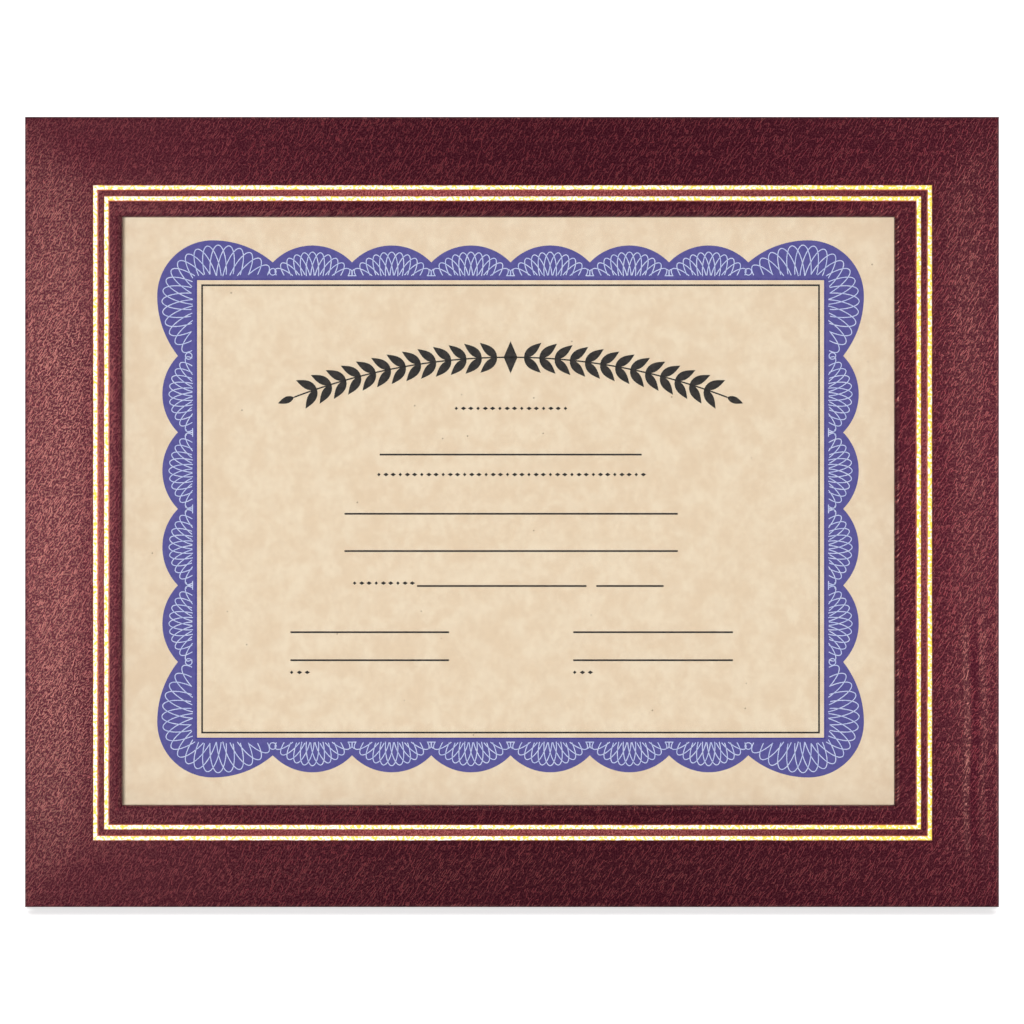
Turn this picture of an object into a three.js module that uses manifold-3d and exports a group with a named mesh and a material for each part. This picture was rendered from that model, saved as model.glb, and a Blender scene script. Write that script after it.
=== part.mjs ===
// A padded leatherette holder for one landscape certificate. It stands on an easel leg or hangs on a nail.
// The certificate slides in through a slot along the top edge, between the front panel and the back board.
// Millimetres, +Z up. The holder faces -Y and leans back on its rear bottom edge.

import * as THREE from 'three';
import { mergeVertices } from 'three/addons/utils/BufferGeometryUtils.js';
import Module from 'manifold-3d';

const wasm = await Module();
wasm.setup();

// Sheet and window
const paperWidth = 279.4;
const paperHeight = 215.9;
const paperThickness = 0.25;
const paperPlay = 0.5; // free depth behind the certificate
const paperSidePlay = 1.2; // free width on each side of the certificate
const windowLap = 6.35; // the window's edge covers this much of the certificate on every side
const windowShift = -1.2; // the window sits this far to the right of the middle, so here to the left

// Front panel
const railWidth = 34.925; // from the window to the outer edge
const leatherThickness = 0.8;
const outerTurnIn = 14; // leatherette folded behind the outer edge
const innerTurnIn = 11; // leatherette folded behind the window's edge
const edgeRadius = 3; // rolled outer edge of the face
const crownDrop = 1; // the padded face falls this much towards the outer edge
const padEdge = 0.3; // straight edge of the pad below the roll
const sillRadius = 1.8; // rolled edge of the window
const rearBevel = 0.6; // rear corners of the wrapped edges
const frontBoardThickness = 3;

// Gold lines
const goldInset = 24.05; // outer edge of the holder to the middle of the outer line
const goldPitch = 3.8;
const goldWidth = 1.55;
const foilThickness = 0.12;
const foilGap = 0.1; // foil to the sides and floor of its groove
const foilSink = 0.08; // foil below the face
const goldMargin = 1; // flat leatherette outside the outer line

// Lens, spacers and back
const lensThickness = 1;
const spacerInset = 1; // spacers sit this far inside the outer edge
const backBoardThickness = 3;
const liningThickness = 0.5;
const notchWidth = 32;
const notchReach = 14; // the thumb notch shows this much of the certificate

// Hanger
const wireRadius = 1;
const ringWidth = 17;
const ringFarWidth = 9;
const ringDrop = 14;
const ringBend = 2.5; // length of the wire's bends along each side
const strapWidth = 10;
const strapThickness = 0.8;
const strapLength = 32;
const strapBarrelRadius = 2;
const strapRivetInset = 5; // lower rivet to the end of the strap
const strapRivetPitch = 8;
const hangerDrop = 10; // hanger's pivot below the thumb notch

// Easel
const leanAngle = THREE.MathUtils.degToRad(14);
const easelAngle = THREE.MathUtils.degToRad(24); // between the leg and the back when the leg is out
const hingeDrop = 15; // hinge below the hanger strap
const hingeWidth = 46;
const leafThickness = 0.9;
const leafLength = 20;
const barrelRadius = 2.5;
const pinRadius = 1.1;
const knuckleGap = 0.4;
const hingeRivetPitch = 26;
const hingeRivetReach = 12; // hinge axis to its rivets
const legThickness = 3;
const legTopWidth = 60;
const legFootWidth = 88;
const legTopGap = 1; // leg to the hinge's barrel
const legCorner = 6;
const ribbonWidth = 12;
const ribbonThickness = 0.5;
const ribbonTab = 14; // length fixed to the back and to the leg
const ribbonOnBack = 60; // hinge axis to the ribbon's rivet on the back
const ribbonOnLeg = 95; // hinge axis to the ribbon's rivet on the leg

// Rivets and fits
const rivetRadius = 1.2;
const rivetHeadRadius = 2.6;
const rivetHeadHeight = 0.8;
const clinchRadius = 2;
const clinchHeight = 0.4;
const rivetEndGap = 0.5; // rivets stop this far inside the back board
const seam = 0.3; // between glued, resting or running faces

// Sizes that follow
const windowWidth = paperWidth - 2 * windowLap;
const windowHeight = paperHeight - 2 * windowLap;
const frameWidth = windowWidth + 2 * railWidth;
const frameHeight = windowHeight + 2 * railWidth;
const paperBottom = railWidth - windowLap;
const paperTop = paperBottom + paperHeight;

// Depth of each layer, from the back of the lining at 0 to the face
const boardRearY = -liningThickness - seam;
const boardFrontY = boardRearY - backBoardThickness;
const pocketDepth = seam + lensThickness + seam + paperThickness + paperPlay;
const panelRearY = boardFrontY - pocketDepth;
const frontBoardRearY = panelRearY - leatherThickness - seam;
const frontBoardFrontY = frontBoardRearY - frontBoardThickness;
const padRearY = frontBoardFrontY - seam;
const rollCentreY = padRearY - padEdge;
const faceY = rollCentreY - edgeRadius - crownDrop;

// Hanger and hinge heights follow from the notch down
const notchBottom = paperTop - notchReach;
const hangerZ = notchBottom - hangerDrop;
const hangerY = seam + strapBarrelRadius;
const strapEndZ = hangerZ - strapLength;
const strapRivetZ = [strapEndZ + strapRivetInset + strapRivetPitch, strapEndZ + strapRivetInset];
const hingeZ = strapEndZ - hingeDrop - leafLength;
const hingeY = seam + barrelRadius;
const hingeRivetX = [-hingeRivetPitch / 2, hingeRivetPitch / 2];

// The folded leg clears the clinched rivets and the hinge leaf on its inner side
const legFrontFolded = seam + clinchHeight + seam + leafThickness + seam;
const legFront = legFrontFolded - hingeY;
const legRear = legFront + legThickness;
const movingLeafNear = legFront - seam - leafThickness;

// Materials
function finish(colour, roughness, metalness = 0, extra = {}) {
  return new THREE.MeshStandardMaterial({ color: colour, roughness, metalness, ...extra });
}
const leatherette = finish(0x6e2630, 0.5);
const foam = finish(0xd8d2c4, 0.95);
const fibreboard = finish(0x8a6b4a, 0.9);
const chipboard = finish(0x8f8a80, 0.9);
const goldFoil = finish(0xe8c65a, 0.25, 1);
const clearPlastic = finish(0xf4f8fa, 0.05, 0, { transparent: true, opacity: 0.12 });
const parchment = finish(0xe9d3b7, 0.85);
const blackPaper = finish(0x1b1a1c, 0.8);
const steel = finish(0xb9bcc0, 0.35, 1);
const blackRibbon = finish(0x18181a, 0.9);

// Solids
function toSolid(geometry) {
  geometry.deleteAttribute('normal');
  geometry.deleteAttribute('uv');
  const merged = mergeVertices(geometry, 1e-4);
  const mesh = new wasm.Mesh({
    numProp: 3,
    vertProperties: new Float32Array(merged.attributes.position.array),
    triVerts: new Uint32Array(merged.index.array),
  });
  return new wasm.Manifold(mesh);
}

function toGeometry(solid) {
  const mesh = solid.getMesh();
  const geometry = new THREE.BufferGeometry();
  geometry.setAttribute('position', new THREE.BufferAttribute(mesh.vertProperties, 3));
  geometry.setIndex(new THREE.BufferAttribute(mesh.triVerts, 1));
  return geometry;
}

function cut(geometry, tools) {
  const solid = tools.reduce((rest, tool) => rest.subtract(toSolid(tool)), toSolid(geometry));
  return toGeometry(solid);
}

function block(x0, x1, y0, y1, z0, z1) {
  const box = new THREE.BoxGeometry(x1 - x0, y1 - y0, z1 - z0);
  return box.translate((x0 + x1) / 2, (y0 + y1) / 2, (z0 + z1) / 2);
}

// A hole along Y, from one depth to another
function holeAlongY(radius, x, y0, y1, z) {
  return new THREE.CylinderGeometry(radius, radius, y1 - y0, 16).translate(x, (y0 + y1) / 2, z);
}

// An outline in X and Z, given thickness from its rear face towards the front
function plate(outline, rearY, thickness) {
  const geometry = new THREE.ExtrudeGeometry(outline, { depth: thickness, bevelEnabled: false, curveSegments: 12 });
  return geometry.rotateX(Math.PI / 2).translate(0, rearY, 0);
}

// A side view in Y and Z, given width along X about the middle
function sideExtrusion(sideView, width) {
  const geometry = new THREE.ExtrudeGeometry(sideView, { depth: width, bevelEnabled: false, curveSegments: 10 });
  const turn = new THREE.Matrix4().makeBasis(
    new THREE.Vector3(0, 1, 0),
    new THREE.Vector3(0, 0, 1),
    new THREE.Vector3(1, 0, 0),
  );
  return geometry.applyMatrix4(turn).translate(-width / 2, 0, 0);
}

// Rectangles in the plane of the holder: the outer edge moved in, and the window moved out
function outerEdge(inset) {
  return {
    left: -frameWidth / 2 + inset,
    right: frameWidth / 2 - inset,
    bottom: inset,
    top: frameHeight - inset,
  };
}

function windowEdge(growth) {
  return {
    left: windowShift - windowWidth / 2 - growth,
    right: windowShift + windowWidth / 2 + growth,
    bottom: railWidth - growth,
    top: railWidth + windowHeight + growth,
  };
}

// A ring with mitred corners. Its section is a closed list of rectangles, each at a depth.
function ring(section) {
  const points = section.flatMap(({ edge, y }) => [
    [edge.left, y, edge.bottom],
    [edge.right, y, edge.bottom],
    [edge.right, y, edge.top],
    [edge.left, y, edge.top],
  ]);
  const triangles = [];
  for (let level = 0; level < section.length; level += 1) {
    const next = (level + 1) % section.length;
    for (let corner = 0; corner < 4; corner += 1) {
      const after = (corner + 1) % 4;
      const [a, b] = [level * 4 + corner, level * 4 + after];
      const [c, d] = [next * 4 + after, next * 4 + corner];
      triangles.push(a, b, c, a, c, d);
    }
  }
  const geometry = new THREE.BufferGeometry();
  geometry.setAttribute('position', new THREE.Float32BufferAttribute(points.flat(), 3));
  geometry.setIndex(triangles);
  return geometry;
}

// Section of the padded face. Depth is how far inside the leatherette's outer surface the line runs.
function quarterRoll(edgeAt, radius, centreY, depth) {
  const steps = 4;
  return Array.from({ length: steps + 1 }, (_, step) => {
    const angle = (step / steps) * (Math.PI / 2);
    const bend = radius - depth;
    return { edge: edgeAt(radius - bend * Math.cos(angle)), y: centreY - bend * Math.sin(angle) };
  });
}

function crown(depth) {
  const steps = 5;
  const inner = goldInset - goldWidth / 2 - goldMargin;
  return Array.from({ length: steps }, (_, step) => {
    const share = (step + 1) / steps;
    const fall = crownDrop * 0.5 * (1 + Math.cos(Math.PI * share));
    return { edge: outerEdge(edgeRadius + (inner - edgeRadius) * share), y: faceY + depth + fall };
  });
}

function faceRolls(depth) {
  return {
    outer: quarterRoll(outerEdge, edgeRadius, rollCentreY, depth),
    sill: quarterRoll(windowEdge, sillRadius, faceY + sillRadius, depth).reverse(),
  };
}

const goldInsets = [goldInset, goldInset + goldPitch];
const grooveDepth = foilGap + foilThickness + foilSink;

function groove(middle) {
  const half = goldWidth / 2 + foilGap;
  return [
    { edge: outerEdge(middle - half), y: faceY },
    { edge: outerEdge(middle - half), y: faceY + grooveDepth },
    { edge: outerEdge(middle + half), y: faceY + grooveDepth },
    { edge: outerEdge(middle + half), y: faceY },
  ];
}

// Front panel
function leatheretteCover() {
  const rolls = faceRolls(0);
  const outside = [
    { edge: outerEdge(outerTurnIn), y: panelRearY },
    { edge: outerEdge(rearBevel), y: panelRearY },
    { edge: outerEdge(0), y: panelRearY - rearBevel },
    ...rolls.outer,
    ...crown(0),
    ...goldInsets.flatMap(groove),
    ...rolls.sill,
    { edge: windowEdge(0), y: panelRearY - rearBevel },
    { edge: windowEdge(rearBevel), y: panelRearY },
    { edge: windowEdge(innerTurnIn), y: panelRearY },
  ];
  const under = faceRolls(leatherThickness);
  const inside = [
    { edge: outerEdge(outerTurnIn), y: panelRearY - leatherThickness },
    { edge: outerEdge(leatherThickness), y: panelRearY - leatherThickness },
    ...under.outer,
    ...crown(leatherThickness),
    ...under.sill,
    { edge: windowEdge(leatherThickness), y: panelRearY - leatherThickness },
    { edge: windowEdge(innerTurnIn), y: panelRearY - leatherThickness },
  ];
  return ring([...outside, ...inside.reverse()]);
}

function foamPad() {
  const depth = leatherThickness + seam;
  const rolls = faceRolls(depth);
  return ring([
    { edge: outerEdge(depth), y: padRearY },
    ...rolls.outer,
    ...crown(depth),
    ...rolls.sill,
    { edge: windowEdge(depth), y: padRearY },
  ]);
}

function frontBoard() {
  const depth = leatherThickness + seam;
  return ring([
    { edge: outerEdge(depth), y: frontBoardRearY },
    { edge: outerEdge(depth), y: frontBoardFrontY },
    { edge: windowEdge(depth), y: frontBoardFrontY },
    { edge: windowEdge(depth), y: frontBoardRearY },
  ]);
}

function goldLine(middle) {
  const floor = faceY + grooveDepth - foilGap;
  return ring([
    { edge: outerEdge(middle - goldWidth / 2), y: floor },
    { edge: outerEdge(middle - goldWidth / 2), y: floor - foilThickness },
    { edge: outerEdge(middle + goldWidth / 2), y: floor - foilThickness },
    { edge: outerEdge(middle + goldWidth / 2), y: floor },
  ]);
}

// Sheets in the pocket
const lensFrontY = panelRearY + seam;
const paperFrontY = lensFrontY + lensThickness + seam;

function pocketSheet(frontY, thickness) {
  const left = windowShift - paperWidth / 2;
  return block(left, left + paperWidth, frontY, frontY + thickness, paperBottom, paperTop);
}

// Spacers
const spacerFrontY = panelRearY + seam;
const spacerRearY = boardFrontY - seam;
const spacerSplit = paperBottom - seam;

function bottomSpacer() {
  const edge = outerEdge(spacerInset);
  return block(edge.left, edge.right, spacerFrontY, spacerRearY, edge.bottom, spacerSplit);
}

function leftSpacer() {
  const edge = outerEdge(spacerInset);
  const pocketLeft = windowShift - paperWidth / 2 - paperSidePlay;
  return block(edge.left, pocketLeft, spacerFrontY, spacerRearY, spacerSplit + seam, edge.top);
}

function rightSpacer() {
  const edge = outerEdge(spacerInset);
  const pocketRight = windowShift + paperWidth / 2 + paperSidePlay;
  return block(pocketRight, edge.right, spacerFrontY, spacerRearY, spacerSplit + seam, edge.top);
}

// Back
function roundHole(x, z) {
  return new THREE.Path().absarc(x, z, rivetRadius + seam, 0, 2 * Math.PI, true);
}

function backOutline() {
  const edge = outerEdge(0);
  const half = notchWidth / 2;
  const outline = new THREE.Shape();
  outline.moveTo(edge.left, edge.bottom);
  outline.lineTo(edge.right, edge.bottom);
  outline.lineTo(edge.right, edge.top);
  outline.lineTo(half, edge.top);
  outline.lineTo(half, notchBottom + half);
  outline.absarc(0, notchBottom + half, half, 0, Math.PI, true);
  outline.lineTo(-half, edge.top);
  outline.lineTo(edge.left, edge.top);
  outline.closePath();
  outline.holes = [
    ...hingeRivetX.map((x) => roundHole(x, hingeZ + hingeRivetReach)),
    ...strapRivetZ.map((z) => roundHole(0, z)),
    roundHole(0, hingeZ - ribbonOnBack),
  ];
  return outline;
}

// A strip whose end curls round a pivot, seen from the side. The pivot is at 0 and the strip runs along Z.
function curledStrip(near, thickness, length, radius, boreRadius) {
  const far = near + thickness;
  const nearAngle = Math.PI / 2 - Math.asin(near / radius);
  const farAngle = Math.PI / 2 - Math.asin(far / radius);
  const outline = new THREE.Shape();
  outline.moveTo(far, length);
  outline.lineTo(near, length);
  outline.lineTo(near, radius * Math.sin(nearAngle));
  outline.absarc(0, 0, radius, nearAngle, farAngle + 2 * Math.PI, false);
  outline.closePath();
  outline.holes = [new THREE.Path().absarc(0, 0, boreRadius, 0, 2 * Math.PI, true)];
  return outline;
}

// Hinge, about its own axis
const knuckleHalf = hingeWidth / 4;
const knuckleReach = barrelRadius + knuckleGap;

function hingeLeaf(near, clearings) {
  const sideView = curledStrip(near, leafThickness, leafLength, barrelRadius, pinRadius + seam);
  const holes = hingeRivetX.map((x) => {
    return holeAlongY(rivetRadius + seam, x, near - 1, near + leafThickness + 1, hingeRivetReach);
  });
  return cut(sideExtrusion(sideView, hingeWidth), [...clearings, ...holes]);
}

function knuckleClearing(x0, x1) {
  return block(x0, x1, -2 * barrelRadius, 2 * barrelRadius, -2 * barrelRadius, knuckleReach);
}

function fixedLeaf() {
  const half = knuckleHalf + knuckleGap;
  return hingeLeaf(-barrelRadius, [knuckleClearing(-half, half)]);
}

// The moving leaf hangs down from the axis, on the leg's inner side
function movingLeaf() {
  const clearings = [
    knuckleClearing(-hingeWidth, -knuckleHalf),
    knuckleClearing(knuckleHalf, hingeWidth),
  ];
  const upright = hingeLeaf(-movingLeafNear - leafThickness, clearings);
  return upright.rotateX(Math.PI);
}

function hingePin() {
  return new THREE.CylinderGeometry(pinRadius, pinRadius, hingeWidth, 16).rotateZ(Math.PI / 2);
}

// Rivets point their heads along +Y. The shank starts under the head at 0.
function rivet(shankLength, clinched) {
  const dome = Array.from({ length: 5 }, (_, step) => {
    const angle = (step / 4) * (Math.PI / 2);
    return new THREE.Vector2(rivetHeadRadius * Math.cos(angle), rivetHeadHeight * Math.sin(angle));
  });
  dome[4].x = 0;
  const tail = clinched
    ? [
        new THREE.Vector2(0, -shankLength - clinchHeight),
        new THREE.Vector2(clinchRadius, -shankLength - clinchHeight),
        new THREE.Vector2(clinchRadius, -shankLength),
      ]
    : [new THREE.Vector2(0, -shankLength)];
  const shank = [new THREE.Vector2(rivetRadius, -shankLength), new THREE.Vector2(rivetRadius, 0)];
  return new THREE.LatheGeometry([...tail, ...shank, ...dome], 16);
}

// Through a piece of this thickness into the back board
function backRivet(pieceThickness, x, z) {
  const headY = seam + pieceThickness + seam;
  const length = headY - boardFrontY - rivetEndGap;
  return rivet(length, false).translate(x, headY, z);
}

// Through the leg and a piece on its inner side
function legRivet(pieceThickness, x, z) {
  const length = seam + legThickness + seam + pieceThickness + seam;
  return rivet(length, true).translate(x, legRear + seam, z);
}

// Easel leg, about the hinge axis and folded along the back
function easelLeg() {
  const stance = easelAngle - leanAngle;
  const hingeHeight = hingeZ * Math.cos(leanAngle) - hingeY * Math.sin(leanAngle);
  const top = -barrelRadius - legTopGap;
  const foot = -(hingeHeight + legThickness) / Math.cos(stance) - legThickness;
  const [halfTop, halfFoot] = [legTopWidth / 2, legFootWidth / 2];
  const outline = new THREE.Shape();
  outline.moveTo(-halfFoot, foot);
  outline.lineTo(halfFoot, foot);
  outline.lineTo(halfTop, top - legCorner);
  outline.quadraticCurveTo(halfTop, top, halfTop - legCorner, top);
  outline.lineTo(legCorner - halfTop, top);
  outline.quadraticCurveTo(-halfTop, top, -halfTop, top - legCorner);
  outline.closePath();
  outline.holes = [
    ...hingeRivetX.map((x) => roundHole(x, -hingeRivetReach)),
    roundHole(0, -ribbonOnLeg),
  ];
  // The floor cuts the foot so that it stands flat
  const reach = hingeHeight + legFootWidth;
  const floor = block(-reach, reach, -reach, reach, -2 * reach, -hingeHeight).rotateX(-stance);
  return cut(plate(outline, legRear, legThickness), [floor]);
}

// Stay ribbon, in the holder's own axes with the leg out
function ribbonOnLegAt(along) {
  const y = legFront - seam - ribbonThickness / 2;
  const [sine, cosine] = [Math.sin(easelAngle), Math.cos(easelAngle)];
  return new THREE.Vector2(hingeY + y * cosine + along * sine, hingeZ + y * sine - along * cosine);
}

function stripOutline(path, thickness) {
  const sides = path.map((point, index) => {
    const before = path[Math.max(index - 1, 0)];
    const after = path[Math.min(index + 1, path.length - 1)];
    const arriving = point.clone().sub(index > 0 ? before : after).multiplyScalar(index > 0 ? 1 : -1).normalize();
    const leaving = index < path.length - 1 ? after.clone().sub(point).normalize() : arriving.clone();
    const bisector = arriving.clone().add(leaving).normalize();
    const spread = thickness / 2 / bisector.dot(arriving);
    return new THREE.Vector2(-bisector.y, bisector.x).multiplyScalar(spread);
  });
  const left = path.map((point, index) => point.clone().add(sides[index]));
  const right = path.map((point, index) => point.clone().sub(sides[index]));
  return new THREE.Shape([...left, ...right.reverse()]);
}

function stayRibbon() {
  const backY = seam + ribbonThickness / 2;
  const backZ = hingeZ - ribbonOnBack;
  const path = [
    new THREE.Vector2(backY, backZ + ribbonTab / 2),
    new THREE.Vector2(backY, backZ - ribbonTab / 2),
    ribbonOnLegAt(ribbonOnLeg - ribbonTab / 2),
    ribbonOnLegAt(ribbonOnLeg + ribbonTab / 2),
  ];
  const strip = sideExtrusion(stripOutline(path, ribbonThickness), ribbonWidth);
  const reach = ribbonTab / 2;
  const backHole = holeAlongY(rivetRadius + seam, 0, -reach, reach, backZ);
  const legHole = holeAlongY(rivetRadius + seam, 0, legFront - reach, legRear, -ribbonOnLeg);
  legHole.rotateX(easelAngle).translate(0, hingeY, hingeZ);
  return cut(strip, [backHole, legHole]);
}

// Hanger, about its own pivot
function hangerStrap() {
  const near = strapBarrelRadius - strapThickness;
  const sideView = curledStrip(near, strapThickness, strapLength, strapBarrelRadius, wireRadius + seam);
  const holes = strapRivetZ.map((z) => holeAlongY(rivetRadius + seam, 0, near - 1, near + 2, hangerZ - z));
  return cut(sideExtrusion(sideView, strapWidth), holes).rotateX(Math.PI);
}

function hangerRing() {
  const corners = [
    new THREE.Vector3(-ringWidth / 2, 0, 0),
    new THREE.Vector3(ringWidth / 2, 0, 0),
    new THREE.Vector3(ringFarWidth / 2, 0, -ringDrop),
    new THREE.Vector3(-ringFarWidth / 2, 0, -ringDrop),
  ];
  const towards = (from, to) => from.clone().add(to.clone().sub(from).setLength(ringBend));
  const wire = new THREE.CurvePath();
  corners.forEach((corner, index) => {
    const next = corners[(index + 1) % corners.length];
    const afterNext = corners[(index + 2) % corners.length];
    wire.add(new THREE.LineCurve3(towards(corner, next), towards(next, corner)));
    wire.add(new THREE.QuadraticBezierCurve3(towards(next, corner), next, towards(next, afterNext)));
  });
  return new THREE.TubeGeometry(wire, 40, wireRadius, 8, true);
}

// Assembly
function addTo(group, name, geometry, material) {
  const mesh = new THREE.Mesh(geometry, material);
  mesh.name = name;
  group.add(mesh);
  return mesh;
}

const holder = new THREE.Group();
holder.rotation.x = -leanAngle;
addTo(holder, 'leatherette_cover', leatheretteCover(), leatherette);
addTo(holder, 'foam_pad', foamPad(), foam);
addTo(holder, 'front_board', frontBoard(), fibreboard);
addTo(holder, 'gold_line_outer', goldLine(goldInsets[0]), goldFoil);
addTo(holder, 'gold_line_inner', goldLine(goldInsets[1]), goldFoil);
addTo(holder, 'clear_lens', pocketSheet(lensFrontY, lensThickness), clearPlastic);
addTo(holder, 'certificate', pocketSheet(paperFrontY, paperThickness), parchment);
addTo(holder, 'spacer_bottom', bottomSpacer(), chipboard);
addTo(holder, 'spacer_left', leftSpacer(), chipboard);
addTo(holder, 'spacer_right', rightSpacer(), chipboard);
addTo(holder, 'back_board', plate(backOutline(), boardRearY, backBoardThickness), fibreboard);
addTo(holder, 'back_lining', plate(backOutline(), 0, liningThickness), blackPaper);

const hinge = new THREE.Group();
hinge.position.set(0, hingeY, hingeZ);
holder.add(hinge);
addTo(hinge, 'hinge_fixed_leaf', fixedLeaf(), steel);
addTo(hinge, 'hinge_pin', hingePin(), steel);

const easel = new THREE.Group();
easel.rotation.x = easelAngle;
hinge.add(easel);
addTo(easel, 'easel_leg', easelLeg(), blackPaper);
addTo(easel, 'hinge_moving_leaf', movingLeaf(), steel);

['left', 'right'].forEach((side, index) => {
  const x = hingeRivetX[index];
  addTo(holder, `hinge_back_rivet_${side}`, backRivet(leafThickness, x, hingeZ + hingeRivetReach), steel);
  addTo(easel, `hinge_leg_rivet_${side}`, legRivet(leafThickness, x, -hingeRivetReach), steel);
});

addTo(holder, 'stay_ribbon', stayRibbon(), blackRibbon);
addTo(holder, 'ribbon_back_rivet', backRivet(ribbonThickness, 0, hingeZ - ribbonOnBack), steel);
addTo(easel, 'ribbon_leg_rivet', legRivet(ribbonThickness, 0, -ribbonOnLeg), steel);

const hanger = new THREE.Group();
hanger.position.set(0, hangerY, hangerZ);
holder.add(hanger);
addTo(hanger, 'hanger_strap', hangerStrap(), steel);
const hangingRing = addTo(hanger, 'hanger_ring', hangerRing(), steel);
hangingRing.rotation.x = leanAngle;
['upper', 'lower'].forEach((place, index) => {
  addTo(holder, `hanger_rivet_${place}`, backRivet(strapThickness, 0, strapRivetZ[index]), steel);
});

// The origin is under the middle of the whole holder, on the surface it stands on
const part = new THREE.Group();
part.add(holder);
part.updateMatrixWorld(true);
const extent = new THREE.Box3().setFromObject(part, true);
holder.position.set(0, -(extent.min.y + extent.max.y) / 2, -extent.min.z);

export default part;
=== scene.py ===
import math

import bmesh
import bpy
import numpy as np
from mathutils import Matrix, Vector, noise


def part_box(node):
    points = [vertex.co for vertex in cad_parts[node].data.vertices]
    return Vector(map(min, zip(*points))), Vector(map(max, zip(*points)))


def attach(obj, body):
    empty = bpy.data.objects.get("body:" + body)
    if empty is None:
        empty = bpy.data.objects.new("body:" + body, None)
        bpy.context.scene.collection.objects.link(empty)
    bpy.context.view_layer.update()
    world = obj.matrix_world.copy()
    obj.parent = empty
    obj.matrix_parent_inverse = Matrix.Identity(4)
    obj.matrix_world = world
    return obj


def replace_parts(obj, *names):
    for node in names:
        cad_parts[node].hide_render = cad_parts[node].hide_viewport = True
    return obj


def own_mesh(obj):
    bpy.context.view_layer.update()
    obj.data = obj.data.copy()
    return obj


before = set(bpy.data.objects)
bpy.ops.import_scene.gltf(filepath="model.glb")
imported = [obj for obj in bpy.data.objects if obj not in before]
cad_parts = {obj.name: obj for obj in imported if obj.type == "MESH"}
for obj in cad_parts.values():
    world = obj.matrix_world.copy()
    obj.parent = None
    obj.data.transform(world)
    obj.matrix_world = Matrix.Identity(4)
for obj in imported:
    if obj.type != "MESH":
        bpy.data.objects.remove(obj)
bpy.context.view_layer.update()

# Sizes in millimetres, in the holder's own axes: X to the right, Y from the face to the back, Z up the face.

# Holder
frame_width = 336.55
frame_height = 273.05
rail_width = 34.925
window_shift = (-1.2, 0.3)
lean = math.radians(14)
face_y = -14.85
panel_rear_y = -6.15
lining_thickness = 0.5

# Leatherette and foam
leather_thickness = 0.8
outer_turn_in = 14
inner_turn_in = 11
edge_radius = 1.15
sill_width = 2.6
sill_drop = 2.6
rear_bevel = 0.6
crown_drop = 1
roll_centre_y = face_y + crown_drop + edge_radius
crown_inset = 21.5
corner_softness = 9
pad_rear_y = -10.55
seam = 0.3
rear_bevel_round = 0.3
cover_steps = (112, 91)
foam_steps = (60, 48)

# Grain of the leatherette, and the painted glow and the pale strip with its painted sheen beside the gold
# lines
wrinkle_size = 1.5
wrinkle_width = 0.26
wrinkle_lean = 0.62
wrinkle_squeeze = 0.30
wrinkle_breaks = 1.6
fleck_size = 0.48
fleck_lean = 0.4
fleck_squeeze = 0.7
grain_depth = 0.06
tint_depths = (-12.5, -13.5)
strip_half_width = (1.1, 1.3)
strip_fade = 152
strip_on_sides = 0.30
glow_middle = 0.1
glow_half_width = (0.68, 1.12)

# Unevenness of the cover
swell_size = 34
swell_seed = 3.7
swell_height = 0.16
swell_begins = (2, 8)
swell_ends = (15, 22)
crease_inset = 9.9
crease_sway = 0.35
crease_sway_length = 8
crease_foot = (4, 30)
crease_head = (78, 112)
crease_width = 1.3
crease_depth = 0.34
ridge_offset = 3.2
ridge_width = 1.6
ridge_share = 0.5

# Gold lines
gold_insets = (24.15, 27.95)
gold_shift = (0.2, -0.28)
gold_width = 1.37
gold_ragged = 0.17
groove_width = 1.75
groove_depth = 0.3
groove_support = 0.25
groove_shoulder = 0.12
groove_lip = 0.08
groove_slope = 0.03
foil_floor = 0.2
foil_thickness = 0.12
foil_edge_drop = 0.04
foil_flat_share = 0.6
foil_steps = (640, 520)
foil_seeds = (1.3, 41.7)
rough_size = 0.9
rough_share = 0.75
slow_size = 6
slow_share = 0.4

# Certificate and its print
paper_front_y = -4.55
print_middle = (-0.5, 137.6)
ink_thickness = 0.02
ink_gap = 0.004
band_width = 217.1
band_height = 158.4
half_band = (band_width / 2, band_height / 2)
corner_arm = 26.23
lobes_across = 6
lobes_up = 4
lobe_radius = 18.97
lobe_sink = 6.95
loop_base = 1.39
loop_reach = 16.67
loop_half_length = 6.6
loop_half_width = 2.17
loop_step = 10
loops_aside = 5
lobe_steps = 24
corner_sink = 5.47
corner_radius = 19.28
corner_steps = 24
fan_sink = 7.3
fan_radius = 19.45
fan_loops = 9
fan_step = 11.25
shoulder_sink = 12.5
shoulder_radius = 24.67
shoulder_step = 9
shoulder_loops = 5
shoulder_points = 14
corner_loop_half_length = 8.69
corner_loop_half_width = 2.85
thread = 0.31
stem_thread = 1.3 * thread
stem_heights = (0.2, 1.2, 1.6)
foot_height = 0.15
foot_places = (-1.5, -0.5, 0.5, 1.5)
hook_height = 1.3
hook_radius = 1.1
hook_steps = 8
eyelet_height = 1.5
eyelet_radius = 1.15
eyelet_steps = 18
band_rim = 0.5
hairline = 0.6
hairline_gap = 1.45

# Garland on the certificate, with its angles in radians
garland_height = 52.5
garland_radius = 210
garland_half_angle = 0.365
garland_margin = 0.02
garland_stem = 0.5
first_leaf = 0.022
leaf_pitch = 5.3
leaf_turn = 0.72
leaf_size = (7.9, 3.0)
leaf_steps = 8
leaf_fullness = 0.8
tip_size = (6.0, 2.4)
lozenge_half_height = 5.6
lozenge_half_width = 2.4

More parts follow.
